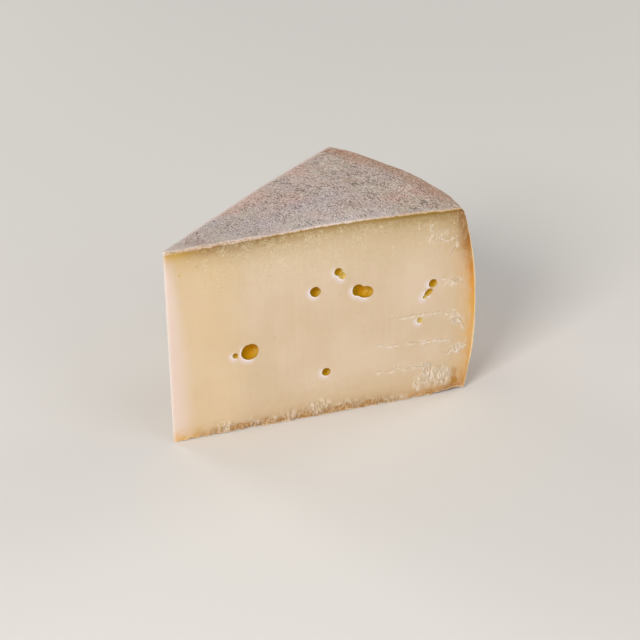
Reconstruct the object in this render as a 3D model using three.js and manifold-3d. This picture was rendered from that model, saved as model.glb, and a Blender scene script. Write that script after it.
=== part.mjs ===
// A wedge of semi-hard washed-rind cheese: a ninth of a round wheel, with rind above, below and round the
// heel, and two cut faces that meet at the tip. Millimetres, +Z up. +X runs along the middle of the wedge,
// from the tip to the heel, and the origin is under the middle of its box, on the surface it rests on.
import * as THREE from "three";
import { mergeVertices } from "three/addons/utils/BufferGeometryUtils.js";
import Module from "manifold-3d";

// The wheel
const HEIGHT = 75; // at its middle
const WHEEL_RADIUS = 110.6; // at the foot and the shoulder of the heel
const HEEL_BULGE = 4.6; // how far the heel stands out at half height
const WEDGE_ANGLE = THREE.MathUtils.degToRad(40);
const SHOULDER_START = 58; // the radius where the top begins to slope to the rim
const SHOULDER_DROP = 2.1;
const FOOT_START = 96; // the radius where the underside leaves the table
const FOOT_RISE = 1.9;
const FOOT_LIP = { from: 107.4, to: 110.4, drop: 0.95 }; // where the rim comes back down, and how far
const TOP_ROUNDING = 1.6; // of the heel's upper edge
const FOOT_ROUNDING = 0.9; // of its lower edge
const RIND_WAVE = 0.3; // height of the rind's slow unevenness
const CUT_WAVE = 0.16; // depth of the waves that the wire leaves in a cut face
const TIP_CUT = 0.5; // how far from the wheel's middle the tip is cut blunt
const AXIS_X = -57.8; // where the wheel's middle stands

// Fineness
const RADIAL_STEPS = 20;
const HEIGHT_STEPS = 14;

// Eyes, as the front cut shows them: distance from the wheel's middle, height, half width of the opening,
// how deep the hollow's middle lies as a share of that, length over width, and the long side's turn in
// degrees.
const FRONT_EYES = [
  { name: "largest", along: 29.6, up: 30.7, half: 3.1, sink: 0.35, stretch: 1.05, turn: 30 },
  { name: "beside_largest", along: 24.2, up: 30.1, half: 1.05, sink: 0.3, stretch: 1, turn: 0 },
  { name: "middle", along: 54.5, up: 49.8, half: 2.0, sink: 0.4, stretch: 1, turn: 0 },
  { name: "upper", along: 63.2, up: 56.1, half: 1.55, sink: 0.2, stretch: 1, turn: 0 },
  { name: "upper_lobe", along: 64.5, up: 54.5, half: 1.4, sink: -0.5, stretch: 1.15, turn: -50 },
  { name: "double_left", along: 70.4, up: 47.6, half: 2.25, sink: 0.3, stretch: 1, turn: 0 },
  { name: "double_right", along: 73.2, up: 46.4, half: 2.3, sink: 0.35, stretch: 1.28, turn: -8 },
  { name: "heel_upper", along: 98.7, up: 45.2, half: 1.6, sink: 0.15, stretch: 1.1, turn: 60 },
  { name: "heel_lower", along: 97.0, up: 41.9, half: 1.2, sink: 0.15, stretch: 1.6, turn: 40 },
  { name: "heel_notch", along: 95.5, up: 40.4, half: 0.7, sink: 0.1, stretch: 1.3, turn: 30 },
  { name: "shallow", along: 93.5, up: 31.3, half: 1.15, sink: -0.5, stretch: 1, turn: 0 },
  { name: "low", along: 57.7, up: 17.3, half: 1.55, sink: 0.35, stretch: 1.05, turn: 0 },
];
const BACK_EYE_COUNT = 8; // not counting the small neighbours of some
const BACK_EYE_HALF = [0.9, 2.9]; // smallest and largest half opening
const EYE_MARGIN = 12; // eyes keep this far from the rind on the back
const NEIGHBOUR = { every: 3, away: 1.75, half: 0.42 }; // the last two as shares of the eye's half opening

// Tears in the front cut, where the curd has parted in level lines near the heel: each line's two ends.
const TEARS = [
  { from: 83, to: 109, upFrom: 34.3, upTo: 30.2 },
  { from: 85, to: 106, upFrom: 23.4, upTo: 21.9 },
  { from: 79, to: 105, upFrom: 13.1, upTo: 10.6 },
  { from: 102, to: 109, upFrom: 40.6, upTo: 40.2 },
  { from: 99, to: 108, upFrom: 62.0, upTo: 65.0 },
];
const TEAR_STEP = 6;
const TEAR_HALF = { long: 3.4, tall: 0.65, deep: 0.45 };
const CHIP_STEP = 8; // between the chips along a cut's lower edge
const CHIP_HALF = { long: 2.6, tall: 0.7, deep: 0.9 };

const HALF_ANGLE = WEDGE_ANGLE / 2;
const GOLDEN = 0.618034; // this one spreads values along a line
const PLASTIC = 0.754878; // this one and its square spread points over a face

// An even spread of values from 0 to 1 with no pattern that shows: the fractions of k times the ratio.
const spread = (k, ratio, start = 0) => (start + k * ratio) % 1;

// The wheel's outline, as heights at a radius and a radius at a height.
const ramp = (radius, start) => THREE.MathUtils.clamp((radius - start) / (WHEEL_RADIUS - start), 0, 1.1);
const topHeight = (radius) => HEIGHT - SHOULDER_DROP * ramp(radius, SHOULDER_START) ** 1.25;
const footHeight = (radius) =>
  FOOT_RISE * ramp(radius, FOOT_START) ** 1.1 -
  FOOT_LIP.drop * THREE.MathUtils.smoothstep(radius, FOOT_LIP.from, FOOT_LIP.to);
const heelRadius = (height) => WHEEL_RADIUS + HEEL_BULGE * (1 - ((2 * height) / HEIGHT - 1) ** 2);

// A point of the wheel's section: out is 0 at the middle and 1 at the heel, level is 0 below and 1 above.
function sectionPoint(out, level) {
  const edge = heelRadius(level * HEIGHT);
  const radius = out * edge;
  const low = footHeight(radius);
  const high = topHeight(radius);
  const height = THREE.MathUtils.lerp(low, high, level);

  // In the square that a rounding takes up, both distances shrink to bring the point onto the arc.
  const upper = level > 0.5;
  const rounding = upper ? TOP_ROUNDING : FOOT_ROUNDING;
  const across = rounding - (edge - radius);
  const along = rounding - (upper ? high - height : height - low);
  if (across <= 0 || along <= 0) return [radius, height];
  const shrink = Math.max(across, along) / Math.hypot(across, along);
  const start = upper ? high - rounding : low + rounding;
  return [edge - rounding + across * shrink, start + (upper ? 1 : -1) * along * shrink];
}

// Slow waves of the rind and of the cut, from a few crossing sines.
const wave = (x, y) =>
  Math.sin(x * 0.11 + 1.3) * Math.cos(y * 0.13 - 0.4) * 0.6 + Math.sin(x * 0.23 - y * 0.19 + 2.1) * 0.4;

// Bends a box of unit size into the wedge. The box's two sides that meet at one upright edge become the cut
// faces, so that edge becomes the tip, and its other two sides become the two halves of the heel.
function bendBox(x, y, z) {
  const a = x + 0.5;
  const b = y + 0.5;
  const reach = Math.max(a, b);
  const turn = reach === 0 ? 0.5 : a >= b ? (0.5 * b) / a : 1 - (0.5 * a) / b;
  const out = 1 - (1 - reach) ** 1.5;
  const level = 0.5 - 0.5 * Math.cos(Math.PI * (z + 0.5));
  const [radius, height] = sectionPoint(out, level);
  const angle = (turn * 2 - 1) * HALF_ANGLE;
  const point = new THREE.Vector3(radius * Math.cos(angle), radius * Math.sin(angle), height);

  if (z === 0.5) point.z -= RIND_WAVE * (0.5 + 0.5 * wave(point.x, point.y));
  if (reach === 1) {
    const push = RIND_WAVE * wave(radius * angle, height) * Math.sin(Math.PI * level);
    point.x += push * Math.cos(angle);
    point.y += push * Math.sin(angle);
  }
  const side = y === -0.5 ? 1 : x === -0.5 ? -1 : 0; // into the cheese from the front cut, or from the back
  if (side && reach > 0) {
    const push = side * CUT_WAVE * (0.5 + 0.5 * wave(radius * 1.4, height * 0.6 + 20 * side));
    point.x += push * Math.sin(HALF_ANGLE) * side;
    point.y += push * Math.cos(HALF_ANGLE);
  }
  return point;
}

function wedgeGeometry() {
  const geometry = new THREE.BoxGeometry(1, 1, 1, RADIAL_STEPS, RADIAL_STEPS, HEIGHT_STEPS);
  const position = geometry.getAttribute("position");
  for (let i = 0; i < position.count; i++) {
    const snap = (value, steps) => Math.round((value + 0.5) * steps) / steps - 0.5;
    const x = snap(position.getX(i), RADIAL_STEPS);
    const y = snap(position.getY(i), RADIAL_STEPS);
    const z = snap(position.getZ(i), HEIGHT_STEPS);
    position.setXYZ(i, ...bendBox(x, y, z));
  }
  return geometry;
}

// A frame on a cut face: x along it from the wheel's middle, y up. side is -1 in front, where z points out
// of the cheese, and 1 behind, where it points in.
function cutFrame(side) {
  const along = new THREE.Vector3(Math.cos(HALF_ANGLE), side * Math.sin(HALF_ANGLE), 0);
  const up = new THREE.Vector3(0, 0, 1);
  return new THREE.Matrix4().makeBasis(along, up, along.clone().cross(up));
}

// A rounded lump to be taken out of the cheese at a cut face, its middle so deep in the cheese.
function lump({ side, along, up, depth, half, turn, detail }) {
  const geometry = new THREE.IcosahedronGeometry(1, detail);
  geometry.scale(half.x, half.y, half.z);
  geometry.rotateZ(THREE.MathUtils.degToRad(turn));
  geometry.translate(along, up, side * depth);
  return geometry.applyMatrix4(cutFrame(side));
}

// An eye: a round hollow that the cut has opened, with its middle a little inside the face or outside it.
function eyeGeometry(side, eye) {
  const depth = eye.sink * eye.half;
  const grow = Math.hypot(1, eye.sink); // the hollow is wider inside than where the face cuts it
  const half = new THREE.Vector3(eye.half * grow * eye.stretch, eye.half * grow, eye.half * grow);
  const detail = eye.half > 1.8 ? 3 : 2;
  return lump({ side, along: eye.along, up: eye.up, depth, half, turn: eye.turn, detail });
}

// The back cut's eyes follow a rule: spread evenly, a few large among small, some with a small neighbour.
function backEyes() {
  const eyes = [];
  for (let k = 0; k < BACK_EYE_COUNT; k++) {
    const eye = {
      along: THREE.MathUtils.lerp(2 * EYE_MARGIN, WHEEL_RADIUS - EYE_MARGIN, spread(k, PLASTIC, 0.62)),
      up: THREE.MathUtils.lerp(EYE_MARGIN, HEIGHT - EYE_MARGIN, spread(k, PLASTIC ** 2, 0.1)),
      half: THREE.MathUtils.lerp(...BACK_EYE_HALF, spread(k, GOLDEN, 0.9) ** 1.5),
      sink: THREE.MathUtils.lerp(0.1, 0.4, spread(k, GOLDEN)),
      stretch: 1 + 0.25 * spread(k, GOLDEN, 0.6),
      turn: 180 * spread(k, GOLDEN, 0.5),
    };
    eyes.push(eye);
    if (k % NEIGHBOUR.every) continue;
    const bearing = 2 * Math.PI * spread(k, GOLDEN, 0.3);
    eyes.push({
      ...eye,
      along: eye.along + NEIGHBOUR.away * eye.half * Math.cos(bearing),
      up: eye.up + NEIGHBOUR.away * eye.half * Math.sin(bearing),
      half: NEIGHBOUR.half * eye.half,
    });
  }
  return eyes;
}

// Shallow scoops along each tear, uneven in length and place.
function tearGeometries() {
  const scoops = [];
  for (const [row, tear] of TEARS.entries()) {
    const count = Math.max(1, Math.round((tear.to - tear.from) / TEAR_STEP));
    const slope = THREE.MathUtils.radToDeg(Math.atan2(tear.upTo - tear.upFrom, tear.to - tear.from));
    for (let k = 0; k < count; k++) {
      const vary = spread(k + 5 * row, GOLDEN, 0.2);
      const place = (k + 0.35 + 0.3 * vary) / count;
      const scoop = {
        side: -1,
        along: THREE.MathUtils.lerp(tear.from, tear.to, place),
        up: THREE.MathUtils.lerp(tear.upFrom, tear.upTo, place) + (vary - 0.5) * 1.2,
        depth: -0.1,
        half: new THREE.Vector3(TEAR_HALF.long * (0.5 + vary), TEAR_HALF.tall, TEAR_HALF.deep),
        turn: slope + (vary - 0.5) * 16,
        detail: 1,
      };
      scoops.push(lump(scoop));
    }
  }
  return scoops;
}

// Chips along the lower edge of both cuts, where the crust crumbled under the wire.
function chipGeometries() {
  const chips = [];
  for (const side of [-1, 1]) {
    for (let k = 0; CHIP_STEP * (k + 1.5) < WHEEL_RADIUS; k++) {
      const vary = spread(k, side < 0 ? GOLDEN : PLASTIC, 0.15);
      const tall = CHIP_HALF.tall * (0.7 + 0.6 * vary);
      const chip = {
        side,
        along: CHIP_STEP * (k + 1 + 0.6 * (vary - 0.5)),
        up: -0.35,
        depth: 0,
        half: new THREE.Vector3(CHIP_HALF.long * (0.5 + vary), tall, CHIP_HALF.deep),
        turn: 0,
        detail: 1,
      };
      chips.push(lump(chip));
    }
  }
  return chips;
}

const wasm = await Module();
wasm.setup();

// A closed geometry as a solid that can be joined and cut.
function toSolid(geometry) {
  const bare = geometry.clone();
  bare.deleteAttribute("normal");
  bare.deleteAttribute("uv");
  const merged = mergeVertices(bare, 1e-4);
  return new wasm.Manifold(
    new wasm.Mesh({
      numProp: 3,
      vertProperties: new Float32Array(merged.getAttribute("position").array),
      triVerts: new Uint32Array(merged.index.array),
    }),
  );
}

function toGeometry(solid) {
  const mesh = solid.getMesh();
  const geometry = new THREE.BufferGeometry();
  geometry.setAttribute("position", new THREE.BufferAttribute(mesh.vertProperties, 3));
  geometry.setIndex(new THREE.BufferAttribute(mesh.triVerts, 1));
  return geometry;
}

// The block that the tip's blunt cut takes away, from the sharp edge to TIP_CUT along the wedge's middle.
function tipBlock() {
  const block = new THREE.BoxGeometry(TIP_CUT * 2, TIP_CUT * 4, HEIGHT * 1.2);
  block.translate(0, 0, HEIGHT / 2);
  return block;
}

function cutCheese() {
  const takenOut = [
    tipBlock(),
    ...FRONT_EYES.map((eye) => eyeGeometry(-1, eye)),
    ...backEyes().map((eye) => eyeGeometry(1, eye)),
    ...tearGeometries(),
    ...chipGeometries(),
  ];
  let cheese = toSolid(wedgeGeometry());
  for (const piece of takenOut) {
    cheese = cheese.subtract(toSolid(piece));
  }
  return toGeometry(cheese);
}

const paste = new THREE.MeshStandardMaterial({ color: 0xd9c1a4, roughness: 0.55, metalness: 0 });

const cheeseWedge = new THREE.Mesh(cutCheese(), paste);
cheeseWedge.name = "cheese_wedge";
cheeseWedge.position.x = AXIS_X;

const part = new THREE.Group();
part.add(cheeseWedge);

export default part;
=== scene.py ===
# A wedge of washed-rind cheese: one closed mesh, with its paste, its rind and the walls of its eyes
# as materials.
import math

import bmesh
import bpy
import numpy as np
from mathutils import Matrix, Vector, noise


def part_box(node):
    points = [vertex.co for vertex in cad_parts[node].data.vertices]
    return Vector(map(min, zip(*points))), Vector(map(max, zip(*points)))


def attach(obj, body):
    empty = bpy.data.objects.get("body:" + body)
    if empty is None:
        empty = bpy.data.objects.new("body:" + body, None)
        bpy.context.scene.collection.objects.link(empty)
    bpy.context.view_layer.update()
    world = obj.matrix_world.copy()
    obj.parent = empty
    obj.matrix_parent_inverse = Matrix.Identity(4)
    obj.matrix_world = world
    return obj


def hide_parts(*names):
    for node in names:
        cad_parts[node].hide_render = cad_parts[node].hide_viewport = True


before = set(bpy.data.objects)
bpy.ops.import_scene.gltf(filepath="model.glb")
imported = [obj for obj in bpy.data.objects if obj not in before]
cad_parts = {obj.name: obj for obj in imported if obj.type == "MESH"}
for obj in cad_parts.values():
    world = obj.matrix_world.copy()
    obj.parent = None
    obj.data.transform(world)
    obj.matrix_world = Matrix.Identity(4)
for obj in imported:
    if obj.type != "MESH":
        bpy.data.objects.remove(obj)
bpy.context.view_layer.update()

MM = 0.001

# The wheel, in millimetres, with the sizes of the solid that this piece replaces
HEIGHT = 75
WHEEL_RADIUS = 110.6
HEEL_BULGE = 4.6
HALF_ANGLE = math.radians(20)
SHOULDER_START = 58
SHOULDER_DROP = 2.1
FOOT_START = 96
FOOT_RISE = 1.9
FOOT_LIP = (107.4, 110.4, 0.95)
TOP_ROUNDING = 1.6
FOOT_ROUNDING = 0.9
TIP_CUT = 0.15  # how far from the wheel's middle the blunt tip is
SOLID_TIP_CUT = 0.5  # the same on the solid
MEAN_RADIUS = 70  # turns an angle into a length round the wheel, about half way out
FAR_AWAY = 9.0  # stands for out of reach, in mm
AXIS_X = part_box("cheese_wedge")[0][0] / MM - SOLID_TIP_CUT  # the wheel's middle

# Fineness: (place, spacing) pairs along a cut's foot and up its side, and spacings across the rind
ALONG_SPACING = [(0, 0.5), (6, 0.7), (72, 0.7), (80, 0.4), (112, 0.4)]
UP_SPACING = [(0, 0.36), (5, 0.42), (16, 0.5), (36, 0.5), (44, 0.75), (60, 0.75), (68, 0.42), (75, 0.36)]
TOP_SPACING = 0.55
HEEL_SPACING = 1.0
FOOT_SPACING = 1.4
TIP_SPACING = 1.0

# The parts of the outline, and the materials by their place in the mesh
TIP, TOP, HEEL, FOOT = range(4)
PASTE, RIND, EYE_WALL = range(3)

# Relief
RIND_WAVE = 0.3
CUT_WAVE = 0.16
STREAK_DEPTH = 0.03
WRINKLE_HEIGHT = 0.15
DIMPLE_HEIGHT = 0.2
CRUMB_HEIGHT = 0.34
PATCH_HEIGHT = 0.2
CHIP_DEPTH = 0.6
TEAR_DEPTH = 0.12
SHORT_TEAR = 5  # torn lines shorter than this have no gaps
LIP_HEIGHT = 0.22
LIP_RISE = 0.4  # how far the crust stands up beside the front cut toward the heel
FOOT_SINK = 0.12  # how far the underside's relief is kept clear of the surface it rests on
PULL_REACH = 4  # how far from a cut the rind follows its relief
PULL_FADE = 1.2  # how far from the cut about a third of that pull is left
EYE_LEAN = (-0.4, 0.2)  # how far an eye's hollow leans along and up, for each mm of its depth

# Eyes of the front cut: distance from the wheel's middle, height, half width of the opening, how deep
# the hollow's middle lies as a share of that, length over width, and the turn of its long side in degrees
FRONT_EYES = [
    (29.6, 30.7, 3.1, 0.35, 1.05, 30),
    (24.2, 30.1, 1.05, 0.3, 1, 0),
    (54.5, 49.8, 2.0, 0.4, 1, 0),
    (63.2, 56.1, 1.55, 0.2, 1, 0),
    (64.6, 54.4, 1.45, -0.65, 1.15, -50),
    (70.4, 47.6, 2.25, 0.3, 1, 0),
    (73.2, 46.4, 2.3, 0.35, 1.28, -8),
    (71.8, 46.9, 2.05, 0.8, 1, 0),
    (98.7, 45.2, 1.6, 0.15, 1.1, 60),
    (97.0, 41.9, 1.2, 0.15, 1.6, 40),
    (95.5, 40.4, 0.7, 0.1, 1.3, 30),
    (93.5, 31.3, 1.15, -0.5, 1, 0),
    (57.7, 17.3, 1.55, 0.35, 1.05, 0),
    (5.8, 65.0, 0.3, -0.2, 3.2, 35),
    (11.9, 67.2, 0.35, 0, 1, 0),
]
BACK_EYE_COUNT = 8
BACK_EYE_HALF = (0.9, 2.9)
EYE_MARGIN = 12
NEIGHBOUR_EVERY = 3
NEIGHBOUR_AWAY = 1.75
NEIGHBOUR_HALF = 0.42
LEAST_RIM = 0.6
RIM_REACH = 12  # how deep in the cheese places are told how far the nearest eye's rim is
CUT_REACH = 1.4  # how deep in the cheese places are told what the cut is like
GOLDEN = 0.618034
PLASTIC = 0.754878

# Torn lines of each cut, as (distance from the wheel's middle, height) from one end to the other
TEARS = {
    -1: [
        [(83, 34.0), (89.1, 33.4), (90.8, 33.8), (96.8, 33.3), (101.5, 33.0), (105.8, 31.9)],
        [(105.8, 32.2), (107.9, 29.0)],
        [(107.3, 31.7), (109.4, 28.0)],
        [(106.4, 29.4), (107.2, 28.0)],
        [(109.2, 28.8), (110.3, 25.8)],
        [(79, 23.9), (82.6, 23.2), (88.6, 23.2), (93.7, 22.0), (96.7, 22.3), (104.5, 21.6)],
        [(104.2, 16.1), (107.4, 18.7)],
        [(106.6, 17.4), (108.8, 18.2), (111.2, 19.7)],
        [(107.4, 16.1), (110.9, 18.4)],
        [(77, 13.6), (82.1, 12.6), (85.5, 14.1), (86.8, 12.7), (90.2, 12.0), (92.3, 12.5), (95.4, 11.8)],
        [(95.5, 12.0), (94.9, 9.4)],
        [(96.5, 11.8), (96.0, 8.4)],
        [(97.6, 11.6), (97.3, 7.8)],
        [(101.5, 9.4), (102.3, 7.0), (102.1, 4.6)],
        [(102.8, 9.9), (103.6, 7.4), (103.2, 4.2)],
        [(104.6, 10.6), (104.9, 7.6), (104.2, 5.0)],
        [(93.6, 7.0), (91.9, 5.6), (92.6, 3.6)],
        [(93.6, 7.0), (95.8, 5.8)],
        [(102.9, 46.6), (105.2, 45.5), (107.5, 44.3), (110.4, 42.6)],
        [(107.7, 45.2), (110.4, 43.4)],
        [(98.8, 66.8), (99.6, 64.8), (102.2, 62.6), (104.4, 61.4), (106.4, 61.8), (107.6, 64.0)],
        [(107.5, 59.4), (107.1, 57.2), (106.3, 56.2)],
    ],
    1: [
        [(80, 48.5), (90, 47.2), (99, 47.8), (108, 45.6)],
        [(86, 29.0), (96, 28.1), (107, 27.3)],
        [(72, 15.0), (83, 14.2), (92, 13.6), (104, 12.0)],
        [(100, 64.0), (108, 61.0)],
    ],
}

# Crumbled patches of each cut: middle along and up, half length along and up, and strength
PATCHES = {
    -1: [
        (99.5, 7.2, 7.0, 4.6, 0.8),
        (90, 12.8, 6.0, 1.4, 0.5),
        (108, 17.4, 3.6, 2.2, 0.65),
        (107.6, 29.8, 3.0, 3.2, 0.6),
        (106.5, 44.6, 4.6, 1.8, 0.55),
        (101.5, 63.2, 4.6, 2.8, 0.65),
        (18.5, 2.4, 5.2, 2.4, 1.0),
        (30, 1.4, 10.0, 2.0, 0.7),
        (44, 2.0, 8.0, 2.4, 0.8),
        (54, 4.0, 6.0, 3.2, 1.0),
        (65, 2.2, 7.0, 2.4, 0.7),
        (80, 1.4, 10.0, 1.8, 0.6),
    ],
    1: [
        (99, 7, 7.0, 4.4, 0.8),
        (104, 45.5, 5.0, 1.6, 0.45),
        (103, 27.4, 5.0, 1.4, 0.45),
        (30, 2.5, 9.0, 2.2, 0.8),
        (60, 2.0, 8.0, 2.2, 0.6),
        (62, 66, 8.0, 3.0, 0.4),
    ],
}

# Brown stains of each cut, given like the patches
STAINS = {
    -1: [
        (25.5, 1.0, 3.6, 2.0, 1.0),
        (35, 1.4, 3.2, 1.8, 0.9),
        (41.3, 1.4, 2.2, 1.5, 0.8),
        (49.5, 1.2, 3.0, 1.5, 0.8),
        (64, 1.8, 4.5, 1.6, 0.8),
        (75, 1.2, 5.0, 1.8, 0.9),
        (97, 1.4, 3.0, 1.4, 0.6),
        (106.6, 6.2, 1.5, 5.6, 1.0),
    ],
    1: [
        (18, 1.0, 5.0, 2.0, 1.0),
        (39, 1.3, 4.0, 1.6, 0.9),
        (66, 1.0, 5.0, 1.4, 0.8),
        (105, 4.0, 1.4, 4.0, 0.8),
    ],
}

# Tinted areas of the top rind: distance from the wheel's middle, angle in degrees, and half sizes both ways
PINK = [(45, 17, 18, 5), (82, 18, 9, 6), (62, 4, 9, 7), (92, -10, 8, 6), (103, -10, 5, 8)]
LAVENDER = [(102.5, 1.2, 3.2, 7.0), (62, -2, 20, 8), (35, -6, 16, 6), (28, 14, 10, 4)]
TAN = [(107.3, -10.2, 1.6, 2.6), (105, 12, 5.0, 13.0)]


def spread(k, ratio, start=0.0):
    """An even spread of values from 0 to 1 with no pattern that shows."""
    return (start + k * ratio) % 1


def lerp(a, b, share):
    return a + (b - a) * share


def ease(value, start, end):
    """0 at start and 1 at end, smooth between them and level beyond."""
    share = np.clip((value - start) / (end - start), 0, 1)
    return share * share * (3 - 2 * share)


def noise_at(points, size, seed=0.0):
    """Smooth noise of about -1 to 1 at each point, with lumps of about the given size in mm."""
    offset = Vector((seed, 1.7 * seed, -0.9 * seed))
    return np.array([noise.noise(Vector(point) / size + offset) for point in points])


def ridges_at(points, size, seed=0.0):
    """Noise with sharp winding crests: 1 on a crest, falling to about 0."""
    return 1 - np.minimum(1, 2.2 * np.abs(noise_at(points, size, seed)))


def ramp(radius, start):
    return np.clip((radius - start) / (WHEEL_RADIUS - start), 0, 1.1)


def top_height(radius):
    return HEIGHT - SHOULDER_DROP * ramp(radius, SHOULDER_START) ** 1.25


def foot_height(radius):
    start, end, drop = FOOT_LIP
    return FOOT_RISE * ramp(radius, FOOT_START) ** 1.1 - drop * ease(radius, start, end)


def heel_radius(height):
    return WHEEL_RADIUS + HEEL_BULGE * (1 - (2 * height / HEIGHT - 1) ** 2)


def section_points(out, level):
    """Places in the wheel's section: out is 0 at the tip and 1 at the heel, level is 0 below and 1 above."""
    edge = heel_radius(level * HEIGHT)
    radius = lerp(TIP_CUT / math.cos(HALF_ANGLE), edge, out)
    low = foot_height(radius)
    high = top_height(radius)
    height = lerp(low, high, level)
    upper = level > 0.5
    rounding = np.where(upper, TOP_ROUNDING, FOOT_ROUNDING)
    across = np.maximum(rounding - (edge - radius), 0)
    along = np.maximum(rounding - np.where(upper, high - height, height - low), 0)
    inside = (across > 0) & (along > 0)
    shrink = np.where(inside, np.maximum(across, along) / np.maximum(np.hypot(across, along), 1e-9), 1)
    radius = np.where(inside, edge - rounding + across * shrink, radius)
    bent = np.where(upper, high - rounding + along * shrink, low + rounding - along * shrink)
    return radius, np.where(inside, bent, height)


def graded(length, spots):
    """Steps from 0 to 1 along a length whose spacing follows the (place, spacing) spots."""
    place = np.linspace(0, length, 3000)
    spacing = np.interp(place, *zip(*spots))
    count = np.concatenate([[0], np.cumsum(np.diff(place) / spacing[1:])])
    steps = int(round(count[-1]))
    return np.interp(np.linspace(0, count[-1], steps + 1), count, place) / length


def slow_wave(x, y):
    """The unevenness that the solid has too, from a few crossing sines."""
    return np.sin(x * 0.11 + 1.3) * np.cos(y * 0.13 - 0.4) * 0.6 + np.sin(x * 0.23 - y * 0.19 + 2.1) * 0.4


def bell(value, middle, half):
    """1 in the middle, falling smoothly to about a third at half each way."""
    return np.exp(-(((value - middle) / half) ** 2))


def to_line(along, up, line):
    """How far each place on a cut is above a line through (along, up) spots, or below it if negative."""
    nearest = np.full_like(along, FAR_AWAY)
    for (first_along, first_up), (last_along, last_up) in zip(line, line[1:]):
        run, rise = last_along - first_along, last_up - first_up
        right, above = along - first_along, up - first_up
        share = np.clip((right * run + above * rise) / (run**2 + rise**2), 0, 1)
        away = np.hypot(right - share * run, above - share * rise)
        signed = np.copysign(away, run * above - rise * right)
        nearest = np.where(away < np.abs(nearest), signed, nearest)
    return nearest


def in_patches(across, up, patches, ragged):
    """How far each place lies in one of the patches, from 0 to the patch's strength."""
    inside = np.zeros_like(across)
    for middle, height, half_across, half_up, strength in patches:
        reach = np.hypot((across - middle) / half_across, (up - height) / half_up)
        inside = np.maximum(inside, strength * ease(reach + ragged, 1.15, 0.5))
    return inside


def cut_relief(side, along, up):
    """What a cut face is like at places on it.

    The first value is how far the surface lies in the cheese. The others say how crumbled the curd is,
    how stained, how far the place is above the nearest torn line, and how open that line is.
    """
    spot = np.stack([along, up, np.full_like(along, 40.0 * side)], 1)
    below_top = top_height(along) - up
    above_foot = up - foot_height(along)
    before_heel = heel_radius(up) - along
    depth = CUT_WAVE * (0.5 + 0.5 * slow_wave(along * 1.4, up * 0.6 - 20 * side))

    # The wire's faint upright streaks
    depth += STREAK_DEPTH * noise_at(spot * (1, 0.06, 1), 1.6, 3)

    # Lines where the curd parted: a groove, with a crumbled lip below it that catches the light
    stray_along = along + 0.4 * noise_at(spot, 2.2, 31)
    stray_up = up + 0.5 * noise_at(spot, 3.4, 32) + 0.3 * noise_at(spot, 1.0, 33)
    above_tear = np.full_like(along, FAR_AWAY)
    broken = ease(noise_at(spot, 2.2, 34), -0.4, 0.15)
    torn = broken
    for line in TEARS[side]:
        off = to_line(stray_along, stray_up, line)
        nearer = np.abs(off) < np.abs(above_tear)
        above_tear = np.where(nearer, off, above_tear)
        torn = np.where(nearer, 1.0 if math.dist(line[0], line[-1]) < SHORT_TEAR else broken, torn)
    torn = torn * ease(np.abs(above_tear), 3.0, 1.6)
    depth += TEAR_DEPTH * torn * (bell(above_tear, 0.2, 0.4) - 0.5 * bell(above_tear, -0.5, 0.4))

    # Patches where it crumbled, more upright than wide in their grain
    crumbled = in_patches(along, up, PATCHES[side], 0.45 * noise_at(spot, 2.6, 8))
    grains = ridges_at(spot * (1, 0.5, 1), 1.5, 7)
    depth += PATCH_HEIGHT * crumbled * (0.5 - grains)

    # Stained hollows
    stained = in_patches(along, up, STAINS[side], 0.5 * noise_at(spot, 1.8, 9))
    depth += 0.15 * stained

    # The crumbled edge at the foot and the ragged ones under the top rind and beside the heel's
    lumps = ridges_at(spot, 1.2, 11) - 0.4
    rough = noise_at(spot, 3.0, 12)
    foot = ease(above_foot, 2.4 + 1.4 * rough, 0.4)
    depth -= CRUMB_HEIGHT * foot * lumps
    depth += CHIP_DEPTH * ease(noise_at(spot, 2.4, 13), 0.05, 0.4) * ease(above_foot, 1.5, 0.2)
    depth -= LIP_HEIGHT * ease(below_top, 1.3, 0.5) * (0.5 + lumps)
    depth -= 0.1 * ease(before_heel, 1.0, 0.2) * lumps
    depth *= ease(along, TIP_CUT, 5)
    return depth, crumbled, stained, above_tear, torn


def rind_relief(points, radius, angle, zone):
    """How far the rind stands out at each point."""
    flat = np.stack([radius, angle * MEAN_RADIUS, points[:, 2]], 1)
    wrinkles = ridges_at(flat * (1, 0.75, 1), 1.6, 21)
    grains = noise_at(flat, 1.1, 26)
    dimples = noise_at(flat * (1, 0.8, 1), 4.0, 22)
    swells = noise_at(points, 13, 23)
    cracks = ridges_at(flat * (1, 0.3, 1), 2.0, 24)
    sparse = ease(noise_at(points, 7, 25), 0.2, 0.45)
    relief = WRINKLE_HEIGHT * (0.7 * wrinkles + 0.5 * grains - 0.45)
    relief += DIMPLE_HEIGHT * (0.5 * dimples - 0.2) + 0.2 * swells
    relief -= 0.35 * sparse * ease(cracks, 0.8, 0.97)

    top_sink = -RIND_WAVE * (0.5 + 0.5 * slow_wave(points[:, 0], points[:, 1]))
    heel_wave = RIND_WAVE * slow_wave(radius * angle, points[:, 2])
    sink = np.select([zone == TOP, zone == HEEL], [top_sink, heel_wave], 0)
    relief = sink + np.where(zone == TOP, 1, 0.8) * relief

    # The crust stands up a little along both cuts
    edge = ease(radius * (HALF_ANGLE - np.abs(angle)), 1.1, 0.5) * (zone == TOP)
    relief += LIP_HEIGHT * edge * (0.5 + np.where(angle < 0, 1.1, 0.5) * noise_at(flat, 0.9, 27))
    toward_front = ease(radius * (HALF_ANGLE + angle), 6.0, 1.0) * (zone == TOP)
    relief += LIP_RISE * ease(radius, 40, 85) * toward_front
    return np.where(zone == FOOT, np.minimum(relief - FOOT_SINK, 0), relief)


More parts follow.
